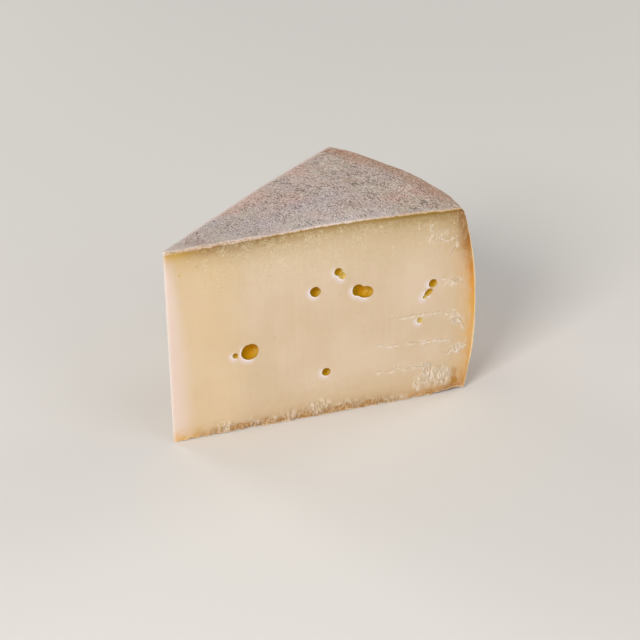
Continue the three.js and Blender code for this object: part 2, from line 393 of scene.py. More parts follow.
def outline_rows():
    """Rows of points round the outline: over the top, down the heel, back underneath and up the tip."""
    out = graded(heel_radius(0) - TIP_CUT, ALONG_SPACING)
    level = graded(HEIGHT, UP_SPACING)
    ones, zeros = np.ones_like, np.zeros_like
    parts = [
        (*section_points(out[:-1], ones(out[:-1])), TOP, TOP_SPACING),
        (*section_points(ones(level[:0:-1]), level[:0:-1]), HEEL, HEEL_SPACING),
        (*section_points(out[:0:-1], zeros(out[:0:-1])), FOOT, FOOT_SPACING),
        (*section_points(zeros(level[:-1]), level[:-1]), TIP, TIP_SPACING),
    ]
    radius = np.concatenate([part[0] for part in parts])
    height = np.concatenate([part[1] for part in parts])
    zone = np.concatenate([np.full(len(part[0]), part[2]) for part in parts])
    spacing = np.concatenate([np.full(len(part[0]), part[3]) for part in parts])
    return out, level, radius, height, zone, spacing


def outward(radius, height):
    """Unit normals of the closed outline, in the section's plane."""
    run = np.roll(radius, -1) - np.roll(radius, 1)
    rise = np.roll(height, -1) - np.roll(height, 1)
    size = np.hypot(run, rise)
    return -rise / size, run / size


def stitch(first, second):
    """Triangles between two rows of point numbers that run side by side, however many points each has."""
    triangles = []
    i = j = 0
    while i < len(first) - 1 or j < len(second) - 1:
        ahead_first = (i + 1) / (len(first) - 1) if i < len(first) - 1 else 2
        ahead_second = (j + 1) / (len(second) - 1) if j < len(second) - 1 else 2
        if ahead_first <= ahead_second:
            triangles.append((first[i], second[j], first[i + 1]))
            i += 1
        else:
            triangles.append((first[i], second[j], second[j + 1]))
            j += 1
    return triangles


def band_points(radius, height, zone, steps):
    """The points of the rows, from the front cut to the back one, with the rind's relief."""
    along_normal, up_normal = outward(radius, height)
    angle = np.concatenate([np.linspace(-HALF_ANGLE, HALF_ANGLE, count + 1) for count in steps])
    row_of = np.repeat(np.arange(len(steps)), steps + 1)
    far = radius[row_of]
    tip = zone[row_of] == TIP
    far = np.where(tip | (far < TIP_CUT * 1.1), TIP_CUT / np.cos(angle), far)
    points = np.stack([far * np.cos(angle), far * np.sin(angle), height[row_of]], 1)
    relief = np.where(tip, 0, rind_relief(points, far, angle, zone[row_of]))
    relief *= ease(far, TIP_CUT, TIP_CUT + 3)
    points[:, 0] += relief * along_normal[row_of] * np.cos(angle)
    points[:, 1] += relief * along_normal[row_of] * np.sin(angle)
    points[:, 2] += relief * up_normal[row_of]

    # Both cuts are pushed in by their relief, and the rind beside them a little too
    for side in (-1, 1):
        away = far * (HALF_ANGLE - side * angle)
        near = np.flatnonzero(away < PULL_REACH)
        push = cut_relief(side, far[near], height[row_of][near])[0]
        push *= np.exp(-away[near] / PULL_FADE)
        points[near, 0] += push * math.sin(HALF_ANGLE)
        points[near, 1] -= side * push * math.cos(HALF_ANGLE)
    return points


def cut_face(side, out, level, ends, first):
    """The inner points of a cut face, numbered from first, and its faces, bordered by the rows' ends."""
    wide, tall = len(out) - 1, len(level) - 1
    grid = -np.ones((wide + 1, tall + 1), int)
    grid[:-1, tall] = ends[:wide]
    grid[wide, :0:-1] = ends[wide:wide + tall]
    grid[:0:-1, 0] = ends[wide + tall:2 * wide + tall]
    grid[0, :-1] = ends[2 * wide + tall:]
    inner = np.argwhere(grid < 0)
    grid[grid < 0] = first + np.arange(len(inner))
    reach, rise = section_points(out[inner[:, 0]], level[inner[:, 1]])
    push = cut_relief(side, reach, rise)[0]
    x = reach * math.cos(HALF_ANGLE) + push * math.sin(HALF_ANGLE)
    y = side * (reach * math.sin(HALF_ANGLE) - push * math.cos(HALF_ANGLE))
    corners = [grid[:-1, :-1], grid[1:, :-1], grid[1:, 1:], grid[:-1, 1:]]
    quads = np.stack([corner.ravel() for corner in corners], 1)
    quads = quads if side < 0 else quads[:, ::-1]
    return np.stack([x, y, rise], 1), [tuple(int(number) for number in quad) for quad in quads]


def wedge_mesh():
    """The wedge without its eyes: a band of rows round its outline, and two cut faces that close it."""
    out, level, radius, height, zone, spacing = outline_rows()
    steps = np.maximum(2, np.round(2 * HALF_ANGLE * radius / spacing).astype(int))
    rows = []
    total = 0
    for count in steps:
        rows.append(list(range(total, total + count + 1)))
        total += count + 1
    points = [band_points(radius, height, zone, steps)]
    faces = []
    materials = []
    for this, following in zip(range(len(rows)), [*range(1, len(rows)), 0]):
        made = stitch(rows[this], rows[following])
        faces += made
        materials += [PASTE if zone[this] == TIP else RIND] * len(made)
    for side in (-1, 1):
        ends = [row[0 if side < 0 else -1] for row in rows]
        inner, quads = cut_face(side, out, level, ends, total)
        points.append(inner)
        total += len(inner)
        faces += quads
        materials += [PASTE] * len(quads)
    return np.concatenate(points), faces, materials


def add_mesh(name, points, faces, materials, shaders):
    """An object from points in millimetres from the wheel's middle."""
    mesh = bpy.data.meshes.new(name)
    mesh.from_pydata(((points + (AXIS_X, 0, 0)) * MM).tolist(), [], faces)
    for shader in shaders:
        mesh.materials.append(shader)
    mesh.polygons.foreach_set("material_index", materials)
    mesh.update()
    piece = bpy.data.objects.new(name, mesh)
    bpy.context.collection.objects.link(piece)
    return piece


def back_eyes():
    """The back cut's eyes, by the solid's rule."""
    eyes = []
    for k in range(BACK_EYE_COUNT):
        along = lerp(2 * EYE_MARGIN, WHEEL_RADIUS - EYE_MARGIN, spread(k, PLASTIC, 0.62))
        up = lerp(EYE_MARGIN, HEIGHT - EYE_MARGIN, spread(k, PLASTIC**2, 0.1))
        half = lerp(*BACK_EYE_HALF, spread(k, GOLDEN, 0.9) ** 1.5)
        sink = lerp(0.1, 0.4, spread(k, GOLDEN))
        stretch = 1 + 0.25 * spread(k, GOLDEN, 0.6)
        turn = 180 * spread(k, GOLDEN, 0.5)
        eyes.append((along, up, half, sink, stretch, turn))
        if k % NEIGHBOUR_EVERY == 0:
            bearing = 2 * math.pi * spread(k, GOLDEN, 0.3)
            beside = along + NEIGHBOUR_AWAY * half * math.cos(bearing)
            above = up + NEIGHBOUR_AWAY * half * math.sin(bearing)
            eyes.append((beside, above, NEIGHBOUR_HALF * half, sink, stretch, turn))
    return eyes


def hollow(side, eye, shaders):
    """The slightly uneven ball whose share in the cheese is an eye."""
    along, up, half, sink, stretch, turn = eye
    grow = half * math.hypot(1, sink)
    ball = bmesh.new()
    bmesh.ops.create_icosphere(ball, subdivisions=4 if half > 1.8 else 3, radius=1)
    for vertex in ball.verts:
        vertex.co *= 1 + 0.07 * noise.noise(vertex.co * 1.4 + Vector((along, up, side)))
    right = Vector((math.cos(HALF_ANGLE), side * math.sin(HALF_ANGLE), 0))
    upward = Vector((0, 0, 1))
    basis = Matrix((right, upward, right.cross(upward))).transposed().to_4x4()
    place = Matrix.Translation((along, up, side * sink * half))
    spin = Matrix.Rotation(math.radians(turn), 4, "Z")
    size = Matrix.Diagonal((grow * stretch, grow, grow, 1))
    lean = Matrix.Identity(4)
    lean[0][2], lean[1][2] = -side * EYE_LEAN[0], -side * EYE_LEAN[1]
    ball.transform(basis @ lean @ place @ spin @ size)
    points = np.array([vertex.co for vertex in ball.verts])
    faces = [tuple(vertex.index for vertex in face.verts) for face in ball.faces]
    ball.free()
    return add_mesh("hollow", points, faces, [EYE_WALL] * len(faces), shaders)


def carve(cheese, hollows):
    """Takes the hollows out of the cheese."""
    group = bpy.data.collections.new("hollows")
    for piece in hollows:
        group.objects.link(piece)
    cut = cheese.modifiers.new("eyes", "BOOLEAN")
    cut.operation = "DIFFERENCE"
    cut.operand_type = "COLLECTION"
    cut.collection = group
    cut.solver = "MANIFOLD"
    depsgraph = bpy.context.evaluated_depsgraph_get()
    carved = bpy.data.meshes.new_from_object(cheese.evaluated_get(depsgraph))
    uncarved = cheese.data
    cheese.modifiers.clear()
    cheese.data = carved
    bpy.data.meshes.remove(uncarved)
    for mesh in [piece.data for piece in hollows]:
        bpy.data.meshes.remove(mesh)  # its piece goes with it
    bpy.data.collections.remove(group)


def store(mesh, name, kind, values):
    attribute = mesh.attributes.new(name, kind, "POINT")
    field = "vector" if kind == "FLOAT_VECTOR" else "value"
    attribute.data.foreach_set(field, np.asarray(values, dtype=np.float32).ravel())


def rims(along, up, eyes):
    """How far each place on a cut is from the nearest eye's rim, and how much to its lower left it lies."""
    nearest = np.full_like(along, FAR_AWAY)
    toward = np.zeros_like(along)
    for eye_along, eye_up, half, _, stretch, turn in eyes:
        if half < LEAST_RIM:
            continue
        right, above = along - eye_along, up - eye_up
        spin = math.radians(turn)
        long_way = (right * math.cos(spin) + above * math.sin(spin)) / stretch
        short_way = above * math.cos(spin) - right * math.sin(spin)
        away = np.hypot(long_way, short_way) - half
        size = np.maximum(np.hypot(right, above), 1e-6)
        nearer = away < nearest
        nearest = np.where(nearer, away, nearest)
        toward = np.where(nearer, (-0.8 * right - 0.6 * above) / size, toward)
    return np.maximum(nearest, 0), toward


def tints(radius, angle):
    """How pink, how lavender and how tan each place of the top rind is."""
    spot = np.stack([radius, angle * MEAN_RADIUS, np.zeros_like(radius)], 1)
    ragged = 0.5 * noise_at(spot, 7, 41) + 0.35 * noise_at(spot, 2.2, 42)
    masks = []
    for areas in (PINK, LAVENDER, TAN):
        mask = np.zeros_like(radius)
        for middle, degrees, half_out, half_round in areas:
            round_way = (angle - math.radians(degrees)) * middle
            reach = np.hypot((radius - middle) / half_out, round_way / half_round)
            mask = np.maximum(mask, ease(reach + ragged, 1.3, 0.2))
        masks.append(mask)
    return np.stack(masks, 1)


def describe(mesh, eyes):
    """Stores on each point what the materials go by. Its lengths are in millimetres."""
    points = np.empty(len(mesh.vertices) * 3)
    mesh.vertices.foreach_get("co", points)
    x, y, z = (points.reshape(-1, 3) / MM - (AXIS_X, 0, 0)).T
    radius, angle = np.hypot(x, y), np.arctan2(y, x)
    along = x * math.cos(HALF_ANGLE) + np.abs(y) * math.sin(HALF_ANGLE)
    into = x * math.sin(HALF_ANGLE) - np.abs(y) * math.cos(HALF_ANGLE)
    depths = np.stack([top_height(radius) - z, heel_radius(z) - radius, z - foot_height(radius)], 1)
    normals = np.array([vertex.normal for vertex in mesh.vertices])
    toward_tip = -normals[:, 0] * math.cos(HALF_ANGLE) - np.sign(y) * normals[:, 1] * math.sin(HALF_ANGLE)
    curd = np.zeros((len(x), 3))
    tear = np.full((len(x), 3), FAR_AWAY)
    wall = into.copy()
    for side in (-1, 1):
        beside = np.flatnonzero((side * y >= 0) & (into < RIM_REACH))
        tear[beside, 2], curd[beside, 2] = rims(along[beside], z[beside], eyes[side])
        here = np.flatnonzero((side * y >= 0) & (into < CUT_REACH))
        relief, crumbled, stained, above_tear, torn = cut_relief(side, along[here], z[here])
        curd[here, :2] = np.stack([crumbled, stained], 1)
        tear[here, :2] = np.stack([above_tear, torn], 1)
        wall[here] = into[here] - relief
    store(mesh, "depths", "FLOAT_VECTOR", depths)
    store(mesh, "polar", "FLOAT_VECTOR", np.stack([radius, angle * MEAN_RADIUS, z], 1))
    store(mesh, "curd", "FLOAT_VECTOR", curd)
    store(mesh, "tear", "FLOAT_VECTOR", tear)
    store(mesh, "tints", "FLOAT_VECTOR", tints(radius, angle))
    store(mesh, "wall", "FLOAT", wall)
    store(mesh, "into", "FLOAT", into)
    # How far each point faces toward the tip and up, which the eye walls' painted light goes by
    store(mesh, "slope", "FLOAT", toward_tip + 0.4 * normals[:, 2])


def screen(red, green, blue):
    """A colour as a screen shows it, from 0 to 255, as the shaders take it."""
    return tuple((value / 255) ** 2.2 for value in (red, green, blue)) + (1.0,)


def by_node(operation):
    """An operator on values that adds the math node for it."""
    return lambda value, other=0.0: value.shader.math(operation, value, other)


class Value:
    """A number that a material works out at each place, with the sums that can be done with it."""

    def __init__(self, shader, socket):
        self.shader = shader
        self.socket = socket

    __add__ = by_node("ADD")
    __sub__ = by_node("SUBTRACT")
    __mul__ = by_node("MULTIPLY")
    __truediv__ = by_node("DIVIDE")
    __lt__ = by_node("LESS_THAN")
    __gt__ = by_node("GREATER_THAN")
    __abs__ = by_node("ABSOLUTE")

    def fit(self, low, high, out_low=0.0, out_high=1.0):
        """Eases from out_low to out_high as this value goes from low to high. Either pair may fall."""
        node = self.shader.add("MapRange")
        node.interpolation_type = "SMOOTHSTEP"
        names = ("Value", "From Min", "From Max", "To Min", "To Max")
        for name, setting in zip(names, (self, low, high, out_low, out_high)):
            self.shader.put(setting, node.inputs[name])
        return Value(self.shader, node.outputs[0])

    def ramp(self, stops):
        """A ramp through (place, colour) stops. Its outputs are the colour and the opacity."""
        node = self.shader.add("ValToRGB")
        elements = node.color_ramp.elements
        while len(elements) < len(stops):
            elements.new(0.5)
        for element, (place, colour) in zip(elements, stops):
            element.position = place
            element.color = colour
        self.shader.put(self, node.inputs[0])
        return node.outputs

    def fade(self, *stops):
        """A share from 0 to 1 that follows (place, share) stops."""
        return Value(self.shader, self.ramp([(place, (0, 0, 0, share)) for place, share in stops])[1])

    def colours(self, *stops):
        """A colour that follows (place, red, green, blue) stops."""
        return self.ramp([(place, screen(*colour)) for place, *colour in stops])[0]


class Shader:
    """A material with its node tree, and short calls for the nodes it is built from."""

    def __init__(self, name):
        self.material = bpy.data.materials.new(name)
        self.material.use_nodes = True
        self.tree = self.material.node_tree
        self.surface = self.tree.nodes["Principled BSDF"]

    def add(self, kind):
        return self.tree.nodes.new("ShaderNode" + kind)

    def put(self, value, socket):
        """Links a value, a colour or a vector to a socket, or sets the socket to a constant."""
        if isinstance(value, Value):
            value = value.socket
        if isinstance(value, bpy.types.NodeSocket):
            self.tree.links.new(value, socket)
        else:
            socket.default_value = value

    def set(self, **values):
        """Sets the shader's own sockets, named with underscores for spaces."""
        for name, value in values.items():
            self.put(value, self.surface.inputs[name.replace("_", " ")])

    def stored(self, name, output="Fac"):
        """What is stored on the mesh under the name."""
        node = self.add("Attribute")
        node.attribute_name = name
        socket = node.outputs[output]
        return Value(self, socket) if output == "Fac" else socket

    def three(self, vector):
        """The three values of a vector, or of the stored vector of that name."""
        node = self.add("SeparateXYZ")
        self.put(self.stored(vector, "Vector") if isinstance(vector, str) else vector, node.inputs[0])
        return [Value(self, socket) for socket in node.outputs]

    def math(self, operation, a, b=0.0, clamp=False):
        node = self.add("Math")
        node.operation = operation
        node.use_clamp = clamp
        self.put(a, node.inputs[0])
        self.put(b, node.inputs[1])
        return Value(self, node.outputs[0])

    def scaled(self, vector, scale):
        node = self.add("Mapping")
        self.put(vector, node.inputs["Vector"])
        node.inputs["Scale"].default_value = scale
        return node.outputs[0]

    def noise(self, place, size, detail=2.0, roughness=0.5, warp=0.0, seed=0.0):
        node = self.add("TexNoise")
        node.noise_dimensions = "4D"
        self.put(place, node.inputs["Vector"])
        node.inputs["W"].default_value = seed
        node.inputs["Scale"].default_value = 1 / size
        node.inputs["Detail"].default_value = detail
        node.inputs["Roughness"].default_value = roughness
        node.inputs["Distortion"].default_value = warp
        return Value(self, node.outputs["Fac"])

    def ridges(self, place, size, detail=1.0, warp=0.0, seed=0.0):
        """Winding crests: 1 on a crest, falling to about 0."""
        away = abs(self.noise(place, size, detail, 0.5, warp, seed) - 0.5)
        return self.math("SUBTRACT", 1.0, away * 9.0, clamp=True)

    def specks(self, place, size):
        """Scattered spots: the distance from the nearest one, and a share from 0 to 1 of its own."""
        node = self.add("TexVoronoi")
        self.put(place, node.inputs["Vector"])
        node.inputs["Scale"].default_value = 1 / size
        return Value(self, node.outputs["Distance"]), self.three(node.outputs["Color"])[0]

    def mix(self, share, a, b):
        node = self.add("Mix")
        node.data_type = "RGBA"
        for number, value in ((0, share), (6, a), (7, b)):
            self.put(value, node.inputs[number])
        return node.outputs[2]

    def over(self, colour, share, red, green, blue):
        """The colour with a share of another one over it."""
        return self.mix(share, colour, screen(red, green, blue))

    def bump(self, height, distance, strength):
        node = self.add("Bump")
        self.put(height, node.inputs["Height"])
        node.inputs["Distance"].default_value = distance * MM
        node.inputs["Strength"].default_value = strength
        self.put(node.outputs[0], self.surface.inputs["Normal"])

    def object_place(self):
        """The object's own coordinates, in millimetres."""
        return self.scaled(self.add("TexCoord").outputs["Object"], (1 / MM,) * 3)


FADE_REACH = 12  # the depth in mm that a fade beside the rind spans
EYE_REACH = 5  # the depth in mm that the colours of the eyes' walls span


class Paste(Shader):
    """The cut faces' material, with the values that its layers go by."""

    def __init__(self):
        super().__init__("paste")
        self.spot = self.object_place()
        self.below_top, self.before_heel, self.above_foot = self.three("depths")
        self.radius, _, self.height = self.three("polar")
        self.crumbled, self.stained, self.toward = self.three("curd")
        self.above_tear, self.torn, self.rim = self.three("tear")
        self.out = self.radius / WHEEL_RADIUS
        self.lip_depth = self.radius.fit(10, 76, 1.4, 0.3)
        self.mottle = self.noise(self.spot, 2.2, 3, 0.6, seed=3)
        self.fine = self.noise(self.spot, 0.8, 2, 0.6, seed=5)
        self.ragged = self.noise(self.spot, 2.6, 3, 0.6, seed=4) - 0.5
        self.worms = self.ridges(self.spot, 0.85, 1, 0.8, seed=18)
        crests = self.ridges(self.scaled(self.spot, (1, 1, 0.33)), 1.2, 1, 0.4, seed=17)
        self.crests = self.math("MAXIMUM", crests, self.worms * 0.6)
        self.relief = self.fine * 0.2  # the layers add theirs to it


def paste_body(at):
    """Pale curd, yellower toward the rind, and paler at the tip, where light comes through it."""
    broad = at.noise(at.spot, 24, 2, seed=1)
    streaks = at.noise(at.scaled(at.spot, (1, 1, 0.05)), 1.5, 2, seed=2)
    tone = broad * 0.7 + streaks * 0.15 + at.mottle * 0.15
    colour = tone.colours((0.4, 213, 189, 157), (0.5, 217, 194, 165), (0.62, 221, 199, 173))
    yellow = (at.below_top + at.mottle * 8).fit(26, 6, 0.0, 0.7)
    colour = at.over(colour, yellow, 208, 184, 146)
    warm = (at.above_foot + at.mottle * 8).fit(22, 8, 0.0, 0.75) * at.radius.fit(20, 34, 0.2, 1.0)
    colour = at.over(colour, warm, 207, 181, 144)
    colour = at.over(colour, at.before_heel.fit(15, 4, 0.0, 0.4), 211, 179, 132)
    golden = at.radius.fit(34, 18) * at.radius.fit(2, 7) * 0.5
    colour = at.over(colour, golden, 222, 193, 147)
    thin = at.height.fit(72, 24, 5.0, 10.5)
    return at.over(colour, at.radius.fit(thin, 0.5, 0.0, 0.85), 232, 210, 198)


def under_top(at, colour):
    """Ochre and olive brown under the top rind, darkest just under the crust: partly the paste's own colour
    and partly painted shadow of the crust's lip.
    """
    depth = at.below_top - at.lip_depth + at.ragged * 1.4
    depth = depth * at.radius.fit(70, 86, 1.0, 0.85)
    zone = (depth / FADE_REACH).fade(
        (0.0, 1.0), (0.06, 0.95), (0.14, 0.74), (0.22, 0.54), (0.34, 0.28), (0.5, 0.14), (0.8, 0.0),
    )
    # Partly painted shadow of the crust's lip, darkest right under it
    ochre_and_lip_shadow = at.out.colours(
        (0.04, 196, 156, 74), (0.11, 166, 127, 66), (0.2, 142, 109, 66), (0.45, 158, 126, 72),
        (0.66, 162, 131, 78), (0.8, 150, 118, 50), (0.92, 146, 113, 46),
    )
    return at.mix(zone, colour, ochre_and_lip_shadow)


def beside_heel(at, colour):
    """Orange beside the outer rind, brown higher up, with faint upright streaks."""
    depth = at.before_heel * at.height.fit(44, 62, 1.0, 0.72) + at.ragged * 4.5
    zone = (depth / FADE_REACH).fade(
        (0.0, 1.0), (0.12, 0.93), (0.18, 0.72), (0.27, 0.4), (0.38, 0.2), (0.7, 0.0),
    )
    orange = (at.height / HEIGHT).colours(
        (0.06, 192, 138, 66), (0.16, 214, 164, 98), (0.3, 220, 168, 98), (0.43, 224, 165, 78),
        (0.56, 222, 152, 52), (0.69, 192, 128, 50), (0.83, 150, 99, 36), (0.93, 144, 100, 54),
    )
    upright = at.noise(at.scaled(at.spot, (1, 1, 0.15)), 1.2, 2, 0.6, seed=26)
    orange = at.over(orange, upright.fit(0.5, 0.64, 0.0, 0.28), 228, 196, 156)
    return at.mix(zone, colour, orange)


def at_foot(at, colour):
    """Brown and broken at the foot, with stains, and with dark and pale grit."""
    depth = at.above_foot + at.ragged * 7
    zone = (depth / FADE_REACH).fade(
        (0.0, 0.95), (0.12, 0.82), (0.2, 0.5), (0.3, 0.25), (0.42, 0.1), (0.6, 0.0),
    )
    brown = at.out.colours(
        (0.04, 220, 172, 96), (0.11, 192, 150, 100), (0.22, 154, 110, 64), (0.5, 158, 116, 64),
        (0.7, 152, 109, 56), (0.82, 192, 148, 96), (0.9, 188, 140, 88), (0.96, 164, 114, 64),
        (1.0, 204, 152, 96),
    )
    colour = at.mix(zone, colour, brown)

    patchy = at.stained + at.ragged * 1.6 + at.fine * 0.5
    stain = patchy.fit(0.5, 1.0, 0.0, 0.8) * at.radius.fit(102, 100)
    at_heel = at.stained.fit(0.0, 0.9, 0.0, 0.85) * at.height.fit(13, 5, 0.15, 1.0)
    at_heel = at_heel * at.radius.fit(100, 102)
    colour = at.over(colour, stain + at_heel, 174, 122, 46)

    grit = at.noise(at.spot, 0.5, 1, 0.5, seed=27)
    gritty = (at.above_foot + at.ragged * 5).fit(3.2, 0.8) * at.radius.fit(6, 20, 0.4, 1.0)
    colour = at.over(colour, gritty * grit.fit(0.43, 0.34) * 0.5, 124, 86, 44)
    return at.over(colour, gritty * grit.fit(0.56, 0.66) * 0.55, 240, 214, 172)


def marks(at, colour):
    """Fine pale worm marks a little way under the top, with painted shade between them, and a few tiny pale
    crystals.
    """
    marked = at.below_top.fit(1.0, 2.0) * at.below_top.fit(9, 4, 0.42, 1.0)
    marked = marked * at.below_top.fit(24, 16) * at.mottle.fit(0.42, 0.56)
    marked = marked * at.radius.fit(60, 90, 1.0, 0.5) * at.radius.fit(9, 16)
    colour = at.over(colour, marked * at.worms * 0.5, 232, 220, 184)
    # Painted shade between the worm marks
    colour = at.over(colour, marked * at.worms.fit(0.25, 0.0) * 0.3, 160, 132, 84)
    ragged_width = at.fine.fit(0.35, 0.65, 0.6, 1.4)
    for size, squeeze, seldom in ((1.9, (1, 1, 1), 0.8), (1.3, (1, 1, 0.5), 0.86)):
        distance, share = at.specks(at.scaled(at.spot, squeeze), size)
        width = share.fit(seldom, 1.0, 0.04, 0.2) * ragged_width
        dot = (distance < width) * (share > seldom) * at.below_top.fit(18, 6, 0.0, 0.6)
        colour = at.over(colour, dot, 242, 230, 202)
    at.relief = at.relief + marked * at.worms * 0.25
    return colour


def broken_curd(at, colour):
    """Crumbled curd is pale on its crests, partly its own paler colour and partly painted highlight, with
    painted shade between them.
    """
    pale_crests_and_highlight = at.crumbled * at.crests.fit(0.35, 0.75) * at.radius.fit(66, 84, 0.7, 1.0)
    paler = at.crumbled * at.above_foot.fit(3, 7) * at.radius.fit(66, 84, 0.1, 0.5)
    colour = at.over(colour, paler, 224, 203, 178)
    # Painted shade between the crests of the crumbled curd
    shade = at.crumbled * at.crests.fit(0.3, 0.0) * at.above_foot.fit(3, 7, 0.5, 0.25)
    colour = at.over(colour, shade, 172, 134, 88)
    at.relief = at.relief + pale_crests_and_highlight * 0.7
    return at.over(colour, pale_crests_and_highlight * 0.75, 242, 228, 208)


def torn_lines(at, colour):
    """A torn line is a groove, darkened as painted shadow, with a pale lip below it, partly pale curd and
    partly painted highlight, and flakes on both sides.
    """
    stray = at.above_tear + at.ragged * 1.2
    # The pale lip below a torn line: pale curd with a painted highlight
    line = stray.fit(-0.75, -0.55) * stray.fit(-0.05, -0.25) * at.torn
    line = line * at.fine.fit(0.42, 0.54, 0.1, 1.0)
    # Painted shadow in the torn line's groove
    gap_shadow = stray.fit(-0.1, 0.05) * stray.fit(0.5, 0.25) * at.torn
    beside = abs(at.above_tear).fit(1.9, 0.6) * at.torn
    flakes = beside * at.crests.fit(0.3, 0.8) * at.mottle.fit(0.42, 0.56)
    colour = at.over(colour, flakes * 0.6, 240, 224, 206)
    colour = at.over(colour, gap_shadow * 0.25, 196, 166, 122)
    at.relief = at.relief + line * 0.5 + flakes * 0.4 - gap_shadow * 0.25
    return at.over(colour, line * 0.8, 243, 230, 216)


def beside_eyes(at, colour):
    """Painted highlight on the paste beside the eyes, paler to their lower left."""
    # Painted highlight: paler near each eye's rim on its lower left side
    lit = at.toward.fit(-0.2, 0.85)
    colour = at.over(colour, lit * at.rim.fit(2.4, 0.1, 0.0, 0.75), 232, 216, 218)
    return at.over(colour, lit * at.rim.fit(0.5, 0.25), 246, 236, 232)


def paste_edges(at, colour):
    """The crust's pale broken edge at the top with a painted highlight along it, a thin pale broken line at
    the foot, and thin painted highlights along the heel's edge and the tip.
    """
    uneven = at.mottle * 1.4 + at.fine - 1.2
    depth = at.below_top - at.lip_depth - uneven
    crust = at.mix(at.fine.fit(0.42, 0.56), screen(182, 152, 124), screen(214, 190, 168))
    # Painted highlight right along the crust's top edge
    crust_edge_highlight = (at.below_top + at.fine).fit(1.0, 0.6) * at.mottle.fit(0.4, 0.56, 0.25, 1.0)
    crust = at.over(crust, crust_edge_highlight, 230, 215, 204)
    crust = at.over(crust, at.radius.fit(66, 88), 204, 175, 140)
    colour = at.mix(depth.fit(0.15, -0.15), colour, crust)
    # Painted highlight along the heel's edge
    colour = at.over(colour, at.before_heel.fit(0.7, 0.35, 0.0, 0.8), 238, 210, 164)
    foot_edge = at.above_foot.fit(0.7, 0.4) * at.fine.fit(0.38, 0.46)
    colour = at.over(colour, foot_edge * 0.65, 236, 210, 176)
    # Painted highlight along the blunt tip
    return at.over(colour, at.radius.fit(1.3, 0.6, 0.0, 0.4), 240, 230, 228)


def paste_material():
    paste = Paste()
    colour = paste_body(paste)
    for layer in (under_top, beside_heel, at_foot, marks, broken_curd, torn_lines, beside_eyes, paste_edges):
        colour = layer(paste, colour)
    paste.set(Base_Color=colour, Roughness=paste.fine.fit(0.3, 0.7, 0.5, 0.66), Specular_IOR_Level=0.35)
    paste.set(Subsurface_Weight=0.25, Subsurface_Radius=(1.0, 0.6, 0.35), Subsurface_Scale=1.5 * MM)
    paste.bump(paste.relief, 0.3, 0.8)
    return paste.material


class Rind(Shader):
    """The rind's material, with the values that its layers go by."""

    def __init__(self):
        super().__init__("rind")
        self.spot = self.object_place()
        self.polar = self.stored("polar", "Vector")
        self.radius, self.around, self.height = self.three(self.polar)
        self.into = self.stored("into")
        self.blotch = self.noise(self.spot, 5, 3, 0.6, seed=12)
        self.ragged_height = self.height + self.blotch * 5
        self.on_heel = self.ragged_height.fit(77, 71) * self.height.fit(0.4, 3)
        self.calm = self.on_heel.fit(0, 1, 1.0, 0.4) * self.radius.fit(102, 108, 1.0, 0.6)
        self.round_way = self.noise(self.scaled(self.polar, (1, 0.45, 1)), 0.38, 1, 0.5, 0.4, seed=14)
        self.out_way = self.noise(self.scaled(self.spot, (0.75, 1, 0.75)), 0.36, 1, 0.5, 0.5, seed=15)
        self.grain = self.round_way * 0.5 + self.out_way * 0.5


def rind_body(at):
    """Greyish brown, with blotches, tinted areas, a browner rim and a paler area beside the front cut."""
    broad = at.noise(at.spot, 15, 3, 0.55, seed=11)
    colour = broad.colours(
        (0.34, 200, 186, 166), (0.46, 202, 182, 167), (0.56, 204, 180, 170), (0.68, 206, 178, 160),
    )
    further = at.radius.fit(55, 90, 0.25, 0.55)
    colour = at.over(colour, at.blotch.fit(0.5, 0.64) * further, 196, 158, 132)
    colour = at.over(colour, at.blotch.fit(0.46, 0.34) * further, 176, 162, 150)
    pink, lavender, tan = at.three("tints")
    colour = at.over(colour, pink * 0.8, 214, 168, 150)
    colour = at.over(colour, lavender * 0.6, 194, 179, 186)
    rim = (at.radius + at.blotch * 12).fit(105, 113, 0.0, 0.9) * at.around.fit(-22, -16, 0.4, 1.0)
    colour = at.over(colour, rim, 180, 140, 116)
    colour = at.over(colour, tan * 0.8, 188, 142, 114)
    beside_cut = at.into.fit(13, 3) * at.around.fit(0, -4)
    beside_cut = beside_cut * at.radius.fit(34, 54) * at.radius.fit(92, 78)
    return at.over(colour, beside_cut * 0.45, 232, 218, 216)


def outer_rind(at, colour):
    """The outer rind is more orange, browner toward its upper and lower edges, under a thin pale bloom."""
    orange = at.noise(at.scaled(at.spot, (1, 0.6, 1)), 12, 3, 0.6, seed=13).colours(
        (0.34, 202, 148, 98), (0.5, 204, 156, 114), (0.66, 200, 164, 134),
    )
    upper = at.ragged_height.fit(56, 74, 0.0, 0.55)
    lower = at.ragged_height.fit(16, 4, 0.0, 0.4)
    orange = at.over(orange, upper + lower, 172, 128, 98)
    bloom = at.noise(at.scaled(at.spot, (1, 0.7, 1)), 3.5, 4, 0.65, seed=28)
    orange = at.over(orange, bloom.fit(0.45, 0.68, 0.0, 0.55), 218, 198, 182)
    return at.mix(at.on_heel, colour, orange)


